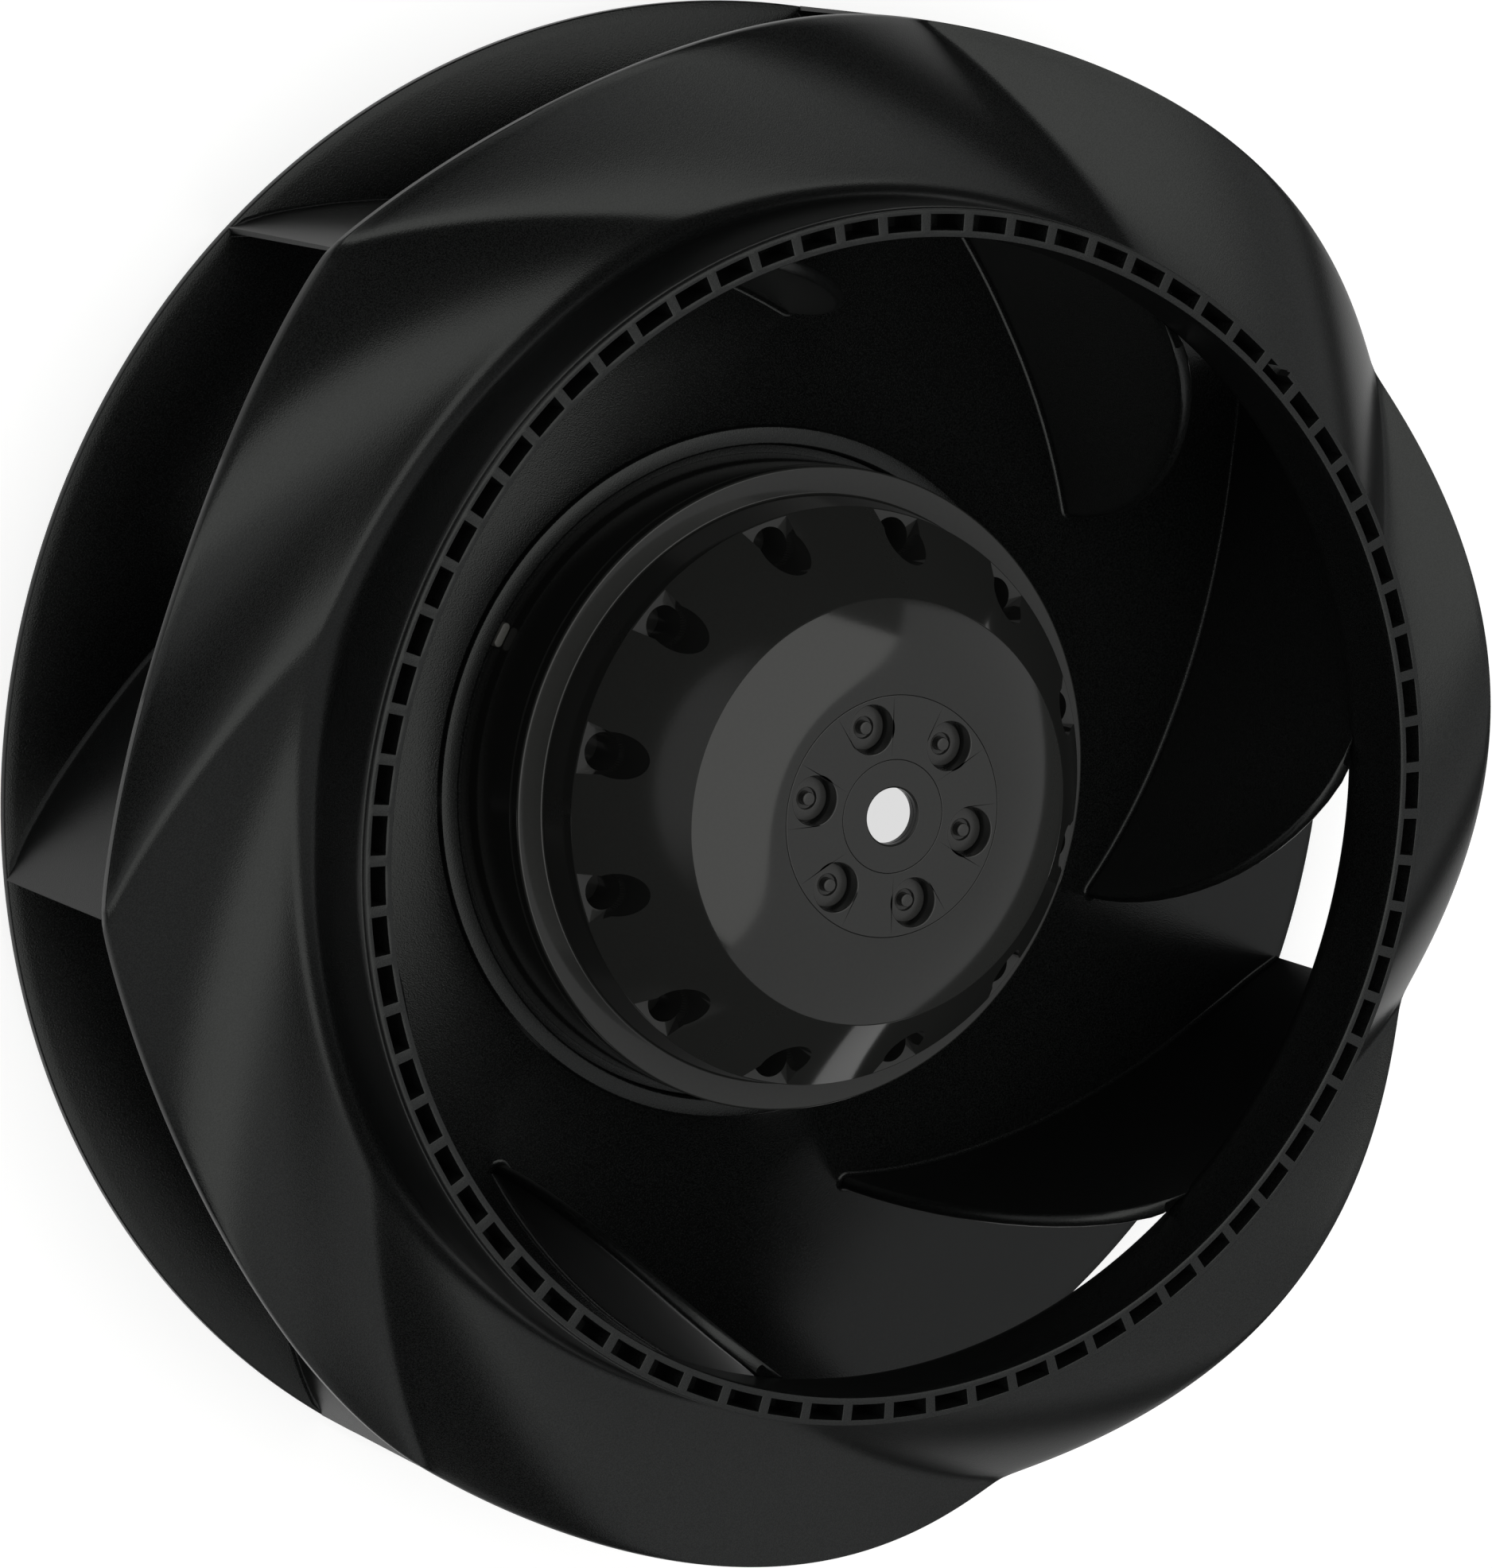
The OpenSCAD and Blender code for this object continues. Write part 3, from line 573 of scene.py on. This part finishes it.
# %% Back plate
GRIP_R = SKIRT_R + PRESS_GAP
GROOVE_FLOOR, LIP_R = 17.4, GRIP_R + 1.5
LIP_RISE, RIM_RISE = 1.5, 1.2
bell = [COLLAR_R + (PLATE_R - COLLAR_R) * (k / 36) ** 1.2 for k in range(2, 36)]
SLEEVE_R = GRIP_R + 2.2
plate_profile = rounded(
    [(GRIP_R, SKIRT_FOOT, 0.3), (GRIP_R, GROOVE_FLOOR, 0), (LIP_R, GROOVE_FLOOR, 0.3),
     (LIP_R, COLLAR_H + LIP_RISE, 0.35), (COLLAR_R - 0.1, COLLAR_H + RIM_RISE, 0.3),
     (COLLAR_R, COLLAR_H, 0.2)]
    + [(r, plate_z(r), 0) for r in bell]
    + [(PLATE_R, PLATE_T, 0.3), (PLATE_R, 0.0, 0.3), (PLATE_R - 2.4, 0.0, 0.3)]
    + [(r, plate_z(r) - PLATE_T, 0) for r in reversed(bell[:-3])]
    + [(SLEEVE_R + 1.2, GROOVE_FLOOR - PLATE_T - 0.4, 0), (SLEEVE_R, GROOVE_FLOOR - PLATE_T - 1.6, 0),
       (SLEEVE_R, SKIRT_FOOT, 0.3)])
plate = turned(plate_profile, 288)
print("plate of", len(plate.faces), "faces, groove", round(COLLAR_H + LIP_RISE - GROOVE_FLOOR, 1), "mm deep")

# %% [markdown]
# A weld bead runs round each blade's foot, where the shroud's blades were melted
# onto the plate. It follows the outline of the foot and is lofted like the blade.

# %% Weld beads and the finished plate
BEAD, BEAD_LEVELS, BEAD_HOLLOW, SUNK = 0.75, 4, 1.6, 0.02


def bead_point(k, level):
    """The weld bead: a small hollow fillet from the flank down to the plate."""
    share = level / BEAD_LEVELS
    foot_point = blade_point(k, 0, BEAD * share ** BEAD_HOLLOW - SUNK)
    r = min(foot_point.xy.length / MM, PLATE_R - 0.3)
    height = plate_z(r) + BEAD * (1 - share) ** BEAD_HOLLOW - SUNK * share
    spot = foot_point.xy.normalized() * r
    return Vector((spot.x, spot.y, height)) * MM


bead = bmesh.new()
loft(bead, COUNT, BEAD_LEVELS, bead_point)
round_the_axis(bead, BLADES)
bead_mesh = bpy.data.meshes.new("beads")
bmesh.ops.recalc_face_normals(bead, faces=bead.faces)
bead.to_mesh(bead_mesh)
bead.free()
plate.from_mesh(bead_mesh)
as_piece(plate, "back_plate_smooth", plate_black, "plate_plastic", "back_plate", 34)

# %% [markdown]
# The rotor hub is a smooth black pot: skirt, ledge, cone and a domed front that
# takes the disc. It has one outline, so it is turned as a shell with its wall. A
# fine groove runs round the skirt, a little under the ledge.

# %% Rotor hub shell
HUB_H, HUB_T, LEDGE_H, LEDGE_R = 64.0, 2.4, 36.8, 48.05
CONE_ANGLE, CONE_R, CONE_H, SHOULDER_H = math.radians(51.3), 47.0, 44.2, 60.1
DISC_R, DISC_T, SHELF_R = 19.4, 5.2, 10.3
SEAT_R, SEAT_H = DISC_R + PRESS_GAP, HUB_H - DISC_T
SCOOP_R, SCOOP_FLOOR, SCOOP_W, HOLE_D, HOLE_DEPTH = 43.0, 44.4, 7.2, 6.2, 7.4
HUB_TURN = math.radians(19.5)


def cone_at(z, wall):
    """Radius of the cone at height z, seen wall millimetres under its surface."""
    return CONE_R - (z - CONE_H) / math.tan(CONE_ANGLE) - wall / math.sin(CONE_ANGLE)


SHOULDER_R = cone_at(SHOULDER_H, 0)


def front_z(r):
    """The domed front: level beside the disc, steepest at the shoulder."""
    return HUB_H - (HUB_H - SHOULDER_H) * (max(0, r - SEAT_R) / (SHOULDER_R - SEAT_R)) ** 1.7


dome = [SHOULDER_R + (SEAT_R - SHOULDER_R) * k / 20 for k in range(1, 20)]
DOME_WALL_R, DOME_WALL_W = 31.5, 9.4
dome_wall = [DOME_WALL_R - DOME_WALL_W * k / 6 for k in range(1, 6)]
hub_profile = rounded([
    (SKIRT_R, SKIRT_FOOT, 0.3), (SKIRT_R, LEDGE_H - 2.7, 0.12), (SKIRT_R - 0.25, LEDGE_H - 2.5, 0),
    (SKIRT_R - 0.25, LEDGE_H - 2.2, 0), (SKIRT_R, LEDGE_H - 2.0, 0.12), (SKIRT_R, LEDGE_H, 0.45),
    (LEDGE_R, LEDGE_H - 0.25, 0.4), (CONE_R, CONE_H, 0.3), (SHOULDER_R, SHOULDER_H, 0.7)]
    + [(r, front_z(r), 0) for r in dome]
    + [(SEAT_R, HUB_H, 0.12), (SEAT_R, SEAT_H, 0), (SHELF_R, SEAT_H, 0.2),
       (SHELF_R, SEAT_H - HUB_T, 0.2), (SEAT_R + HUB_T, SEAT_H - HUB_T, 0.5),
       (SEAT_R + HUB_T, HUB_H - HUB_T, 0.5)]
    + [(r, front_z(r) - HUB_T, 0) for r in reversed(dome_wall)]
    + [(cone_at(SHOULDER_H - HUB_T, HUB_T), SHOULDER_H - HUB_T, 0),
    (CONE_R - 0.7 * HUB_T, CONE_H - 0.9 * HUB_T, 0.5), (CONE_R - 0.7 * HUB_T, LEDGE_H - HUB_T, 0.6),
    (SKIRT_R - HUB_T, LEDGE_H - HUB_T, 0.8), (SKIRT_R - HUB_T, SKIRT_FOOT, 0.3)], 6)
HUB_STEPS = 240
hub_shell = turned(hub_profile, HUB_STEPS)
print("hub shell:", len(hub_shell.faces), "faces, shoulder at radius", round(SHOULDER_R, 1), "mm")

# %% [markdown]
# Twelve scoops open the cone, and each ends in a blind hole. Inside the pot each
# has a cup behind it. The cups are posts, cut off just inside the cone so that
# none shows outside, and they are joined to the shell. Then three tools cut each
# scoop: a turned one with a slanted rim at its floor, a wedge that opens it to the
# outside, and a drill for the hole. Booleans suit these clean crossing surfaces.

# %% Scoops
SCOOPS, CUP_TOP = 12, 52


def post(bm, radius, low, high, at, segments=40):
    """An upright cylinder, low and high in millimetres."""
    place = Matrix.Translation((at * MM, 0, (low + high) / 2 * MM))
    bmesh.ops.create_cone(bm, cap_ends=True, segments=segments, radius1=radius * MM,
                          radius2=radius * MM, depth=(high - low) * MM, matrix=place)


cups = bmesh.new()
post(cups, SCOOP_W / 2 + 0.6 * HUB_T, SCOOP_FLOOR - HOLE_DEPTH - HUB_T / 2, CUP_TOP, SCOOP_R)
round_the_axis(cups, SCOOPS, HUB_TURN)
outside = turned([(CONE_R - 0.3, 30), (CONE_R - 0.3, CONE_H), (cone_at(CUP_TOP + 2, 0.3), CUP_TOP + 2),
                  (60, CUP_TOP + 2), (60, 30)], HUB_STEPS)
cups = combined(only_mesh(cups, "cups"), only_mesh(outside, "outside"), "DIFFERENCE")
hub_bm = combined(only_mesh(hub_shell, "hub_shell"), only_mesh(cups, "cups"), "UNION")

scoops = turned([(0, SCOOP_FLOOR), (HOLE_D / 2, SCOOP_FLOOR), (SCOOP_W / 2, SCOOP_FLOOR + 1.4),
                 (SCOOP_W / 2, HUB_H + 4), (0, HUB_H + 4)], 48, closed=False)
bmesh.ops.translate(scoops, vec=(SCOOP_R * MM, 0, 0), verts=scoops.verts)
holes = bmesh.new()
post(holes, HOLE_D / 2, SCOOP_FLOOR - HOLE_DEPTH, SCOOP_FLOOR + 2, SCOOP_R, 44)
wedges = bmesh.new()
WEDGE_H, NARROW, WIDE = 20, 0.43 * SCOOP_W, 0.64 * SCOOP_W
mouth = CONE_R - SCOOP_R + 1
loop = [wedges.verts.new(Vector(p) * MM) for p in (
    (SCOOP_R, -NARROW, SCOOP_FLOOR), (SCOOP_R + mouth, -WIDE, SCOOP_FLOOR),
    (SCOOP_R + mouth, WIDE, SCOOP_FLOOR), (SCOOP_R, NARROW, SCOOP_FLOOR))]
wedge_floor = wedges.faces.new(loop)
wedge_top = bmesh.ops.extrude_face_region(wedges, geom=[wedge_floor])["geom"]
bmesh.ops.translate(wedges, vec=(0, 0, WEDGE_H * MM), verts=verts_of(wedge_top))
bmesh.ops.recalc_face_normals(wedges, faces=wedges.faces)
for tool_bm in (scoops, wedges, holes):
    round_the_axis(tool_bm, SCOOPS, HUB_TURN)
for name, tool_bm in (("scoop", scoops), ("wedge", wedges), ("hole", holes)):
    hub_bm = combined(only_mesh(hub_bm, "hub"), only_mesh(tool_bm, name), "DIFFERENCE")
print("hub after the cuts:", len(hub_bm.faces), "faces")

# %% [markdown]
# Six rivets hold the disc, and their shanks pass through the shelf of the hub, so
# it is drilled before it gets its finish.

# %% Rivet holes and the finished hub
RIVETS, RIVET_PCR, SHANK_R = 6, 14.7, 2.0
SHANK_HOLE_R = SHANK_R + PRESS_GAP
RIVET_TURN = HUB_TURN + math.radians(30)
drills = bmesh.new()
post(drills, SHANK_HOLE_R, SEAT_H - HUB_T - 1, SEAT_H + 1, RIVET_PCR, 32)
round_the_axis(drills, RIVETS, RIVET_TURN)
hub_bm = combined(only_mesh(hub_bm, "hub"), only_mesh(drills, "drills"), "DIFFERENCE")
as_piece(hub_bm, "rotor_hub_smooth", hub_black, "hub_plastic", "rotor_hub", 25, even=True)

# %% [markdown]
# The front disc is a turned washer with six counterbores, whose rims are bevelled
# once they are cut. A bush sits flush in its middle.

# %% Front disc and bush
BUSH_R, BUSH_T, BORE_R = 9.1, 2.4, 4.55
COUNTERBORE_R, COUNTERBORE_D, COUNTERBORE_ROUND = 3.95, 3.6, 0.22
disc_bm = turned(rounded([
    (DISC_R, SEAT_H, 0.1), (DISC_R, HUB_H, 0.14), (BUSH_R + PRESS_GAP, HUB_H, 0.12),
    (BUSH_R + PRESS_GAP, HUB_H - BUSH_T, 0), (BUSH_R - 1.2, HUB_H - BUSH_T, 0.1),
    (BUSH_R - 1.2, SEAT_H, 0.1)], 3), 192)
bores = bmesh.new()
post(bores, COUNTERBORE_R, HUB_H - COUNTERBORE_D, HUB_H + 2, RIVET_PCR, 56)
shanks = bmesh.new()
post(shanks, SHANK_HOLE_R, SEAT_H - 1, HUB_H, RIVET_PCR, 32)
for name, tool_bm in (("bores", bores), ("shanks", shanks)):
    round_the_axis(tool_bm, RIVETS, RIVET_TURN)
    disc_bm = combined(only_mesh(disc_bm, "disc"), only_mesh(tool_bm, name), "DIFFERENCE")
rim_edges = [e for e in disc_bm.edges if all(abs(v.co.z - HUB_H * MM) < 1e-6 for v in e.verts)
             and len(e.link_faces) == 2 and e.calc_face_angle() > 1
             and 10.2 < e.verts[0].co.xy.length / MM < 19]
bmesh.ops.bevel(disc_bm, geom=rim_edges, offset=COUNTERBORE_ROUND * MM, offset_type="OFFSET",
                affect="EDGES", segments=3, profile=0.5, material=-1)
as_piece(disc_bm, "front_disc_smooth", disc_black, "disc_plastic", "front_disc", 12, even=True)

bush_bm = turned(rounded([
    (BORE_R, HUB_H - BUSH_T, 0.1), (BUSH_R, HUB_H - BUSH_T, 0.1), (BUSH_R, HUB_H, 0.14),
    (BORE_R + 0.3, HUB_H, 0.1), (BORE_R, HUB_H - 0.3, 0.1), (BORE_R, HUB_H - 1.15, 0),
    (BORE_R + 0.06, HUB_H - 1.2, 0), (BORE_R + 0.06, HUB_H - 1.3, 0), (BORE_R, HUB_H - 1.35, 0)], 3), 96)
as_piece(bush_bm, "bore_bush_smooth", disc_black, "bush", "bore_bush", 25, even=True)

# %% [markdown]
# Each counterbore holds a blind rivet with a socket, and the pin that spread it
# stays in it. Both are turned at the axis, moved out to their circle and repeated.

# %% Rivets and pins
RIVET_SEAT, RIVET_END = HUB_H - COUNTERBORE_D, SEAT_H - HUB_T
HEAD_R, HEAD_T, SOCKET_R, PIN_R, PIN_RISE = 3.7, 1.0, 1.75, 1.1, 0.8
SOCKET_FLOOR = RIVET_SEAT + HEAD_T - 0.7


def at_rivets(bm):
    """Moves what was turned at the axis to the places of the six rivets."""
    bmesh.ops.translate(bm, vec=(RIVET_PCR * MM, 0, 0), verts=bm.verts)
    return round_the_axis(bm, RIVETS, RIVET_TURN)


rivets = at_rivets(turned(rounded([
    (PIN_R + PRESS_GAP, RIVET_END - 2.2, 0), (2.3, RIVET_END - 2.2, 0.2), (3.0, RIVET_END - 1.4, 0.3),
    (3.0, RIVET_END, 0.1), (SHANK_R, RIVET_END, 0), (SHANK_R, RIVET_SEAT, 0),
    (HEAD_R, RIVET_SEAT, 0.1), (HEAD_R, RIVET_SEAT + HEAD_T, 0.3), (SOCKET_R, RIVET_SEAT + HEAD_T, 0.18),
    (SOCKET_R, SOCKET_FLOOR, 0.1), (PIN_R + PRESS_GAP, SOCKET_FLOOR, 0)], 3), 48))
as_piece(rivets, "rivet_bodies_smooth", rivet_black, "rivet", "rivet_bodies", 25, even=True)
pins = at_rivets(turned(rounded([
    (0, RIVET_END - 3.8, 0), (PIN_R, RIVET_END - 3.6, 0.2), (1.9, RIVET_END - 3.0, 0.2),
    (1.9, RIVET_END - 2.2, 0.05), (PIN_R, RIVET_END - 2.2, 0),
    (PIN_R, RIVET_SEAT + HEAD_T + PIN_RISE, 0.22), (0, RIVET_SEAT + HEAD_T + PIN_RISE, 0)], 3),
    32, closed=False))
as_piece(pins, "rivet_pins_smooth", rivet_black, "rivet_pin", "rivet_pins", 25, even=True)

# %% [markdown]
# A small grey plug fills the collar's groove in one place. It has round ends, so
# the two halves of a circle are drawn apart, and the shape is pulled up.

# %% Collar plug
PLUG_L, PLUG_H, PLUG_W = 4.2, 2.6, 1.44
PLUG_GAP, PLUG_ROUND, PLUG_TURN = 0.06, 0.18, math.radians(274.5)
plug_bm = bmesh.new()
bmesh.ops.create_circle(plug_bm, cap_ends=True, segments=32, radius=PLUG_W / 2 * MM,
                        matrix=Matrix.Rotation(math.pi / 32, 4, "Z"))
for vert in plug_bm.verts:
    vert.co.y += math.copysign((PLUG_L - PLUG_W) / 2 * MM, vert.co.y)
plug_top = bmesh.ops.extrude_face_region(plug_bm, geom=list(plug_bm.faces))["geom"]
bmesh.ops.translate(plug_bm, vec=(0, 0, PLUG_H * MM), verts=verts_of(plug_top))
plug_place = Vector((SKIRT_R + PLUG_GAP + PLUG_W / 2, 0, GROOVE_FLOOR)) * MM
bmesh.ops.translate(plug_bm, vec=plug_place, verts=plug_bm.verts)
round_the_axis(plug_bm, 1, PLUG_TURN)
bmesh.ops.recalc_face_normals(plug_bm, faces=plug_bm.faces)
rim = [e for e in plug_bm.edges if all(v.co.z > (GROOVE_FLOOR + PLUG_H - 0.01) * MM for v in e.verts)]
bmesh.ops.bevel(plug_bm, geom=rim, offset=PLUG_ROUND * MM, offset_type="OFFSET",
                affect="EDGES", segments=3, profile=0.5, material=-1)
as_piece(plug_bm, "collar_plug_smooth", plug_grey, "plug", "collar_plug", 40)

# %% [markdown]
# The floor is plain and pale. To the camera it shines nearly white by itself, and
# to reflections a little less. The rest of its brightness is lamp light, so it
# still carries the soft shadow of the wheel.

# %% Floor
CAMERA_GLOW, MIRRORED_GLOW = 0.72, 0.4
floor_bm = bmesh.new()
bmesh.ops.create_circle(floor_bm, cap_ends=True, segments=96, radius=6)
floor_mesh = bpy.data.meshes.new("floor")
floor_bm.to_mesh(floor_mesh)
floor_bm.free()
floor = bpy.data.objects.new("floor", floor_mesh)
bpy.context.scene.collection.objects.link(floor)
floor_paint = bpy.data.materials.new("floor_paint")
floor_paint.use_nodes = True
floor_nodes, floor_links = floor_paint.node_tree.nodes, floor_paint.node_tree.links
floor_surface = floor_nodes["Principled BSDF"]
floor_surface.inputs["Base Color"].default_value = (0.45, 0.45, 0.45, 1)
floor_surface.inputs["Roughness"].default_value = 1
floor_surface.inputs["Specular IOR Level"].default_value = 0
floor_path = floor_nodes.new("ShaderNodeLightPath")
floor_mirrored = floor_nodes.new("ShaderNodeMath")
floor_mirrored.operation = "MULTIPLY"
floor_mirrored.inputs[1].default_value = MIRRORED_GLOW
floor_glow = floor_nodes.new("ShaderNodeMath")
floor_glow.operation = "MULTIPLY_ADD"
floor_glow.inputs[1].default_value = CAMERA_GLOW
floor_links.new(floor_path.outputs["Is Glossy Ray"], floor_mirrored.inputs[0])
floor_links.new(floor_path.outputs["Is Camera Ray"], floor_glow.inputs[0])
floor_links.new(floor_mirrored.outputs[0], floor_glow.inputs[2])
floor_surface.inputs["Emission Color"].default_value = (1, 1, 1, 1)
floor_links.new(floor_glow.outputs[0], floor_surface.inputs["Emission Strength"])
floor_mesh.materials.append(floor_paint)
print("floor glows", CAMERA_GLOW, "to the camera and", MIRRORED_GLOW, "to reflections")

# %% [markdown]
# The world is nearly dark, with a soft weak glow low in front of the wheel, where
# a studio has a reflector. It lifts the sides of the hub that face the camera.

# %% World
GLOW_FROM = (0.243, -0.908, 0.342)
GLOW_EDGE, GLOW_CORE = 0.55, 0.97
DARKEST, BRIGHTEST = 0.05, 0.65
world = bpy.data.worlds.new("studio")
bpy.context.scene.world = world
world.use_nodes = True
world_light = world.node_tree.nodes["Background"]
world_light.inputs["Color"].default_value = (1, 1, 1, 1)
sky_place = world.node_tree.nodes.new("ShaderNodeTexCoord")
sky_dot = world.node_tree.nodes.new("ShaderNodeVectorMath")
sky_dot.operation = "DOT_PRODUCT"
sky_dot.inputs[1].default_value = GLOW_FROM
sky_fade = world.node_tree.nodes.new("ShaderNodeMapRange")
sky_fade.interpolation_type = "SMOOTHSTEP"
sky_fade.inputs["From Min"].default_value = GLOW_EDGE
sky_fade.inputs["From Max"].default_value = GLOW_CORE
sky_fade.inputs["To Min"].default_value = DARKEST
sky_fade.inputs["To Max"].default_value = BRIGHTEST
world.node_tree.links.new(sky_place.outputs["Generated"], sky_dot.inputs[0])
world.node_tree.links.new(sky_dot.outputs["Value"], sky_fade.inputs["Value"])
world.node_tree.links.new(sky_fade.outputs["Result"], world_light.inputs["Strength"])
print("world strength from", DARKEST, "to", BRIGHTEST)

# %% [markdown]
# Two flat panels light the wheel, and black gloss shows them as broad soft bands:
# one overhead, and one behind that leans over the wheel. They share an edge, so
# that the hub's dome mirrors them as one fold and not as two separate bands.

# %% Lamps
def softbox(name, place, aim, size, radiance, colour=(1, 1, 1)):
    """A flat lamp; its radiance is what a mirror would show of it, where 1 is white."""
    data = bpy.data.lights.new(name, "AREA")
    data.shape = "RECTANGLE"
    data.size, data.size_y = size
    data.energy = radiance * math.pi * size[0] * size[1]
    data.color = colour
    made = bpy.data.objects.new(name, data)
    bpy.context.scene.collection.objects.link(made)
    aimed = (Vector(aim) - Vector(place)).to_track_quat("-Z", "Y").to_matrix().to_4x4()
    made.matrix_world = Matrix.Translation(place) @ aimed


softbox("overhead_softbox", place=(-0.05, -0.12, 1.25), aim=(-0.05, -0.12, 0),
        size=(1.8, 0.98), radiance=2.15, colour=(1, 1, 0.97))
softbox("back_softbox", place=(0, 0.819, 0.910), aim=(0, 0.214, 0.113),
        size=(2.8, 1.126), radiance=0.8)
bpy.context.scene.view_settings.view_transform = "Standard"
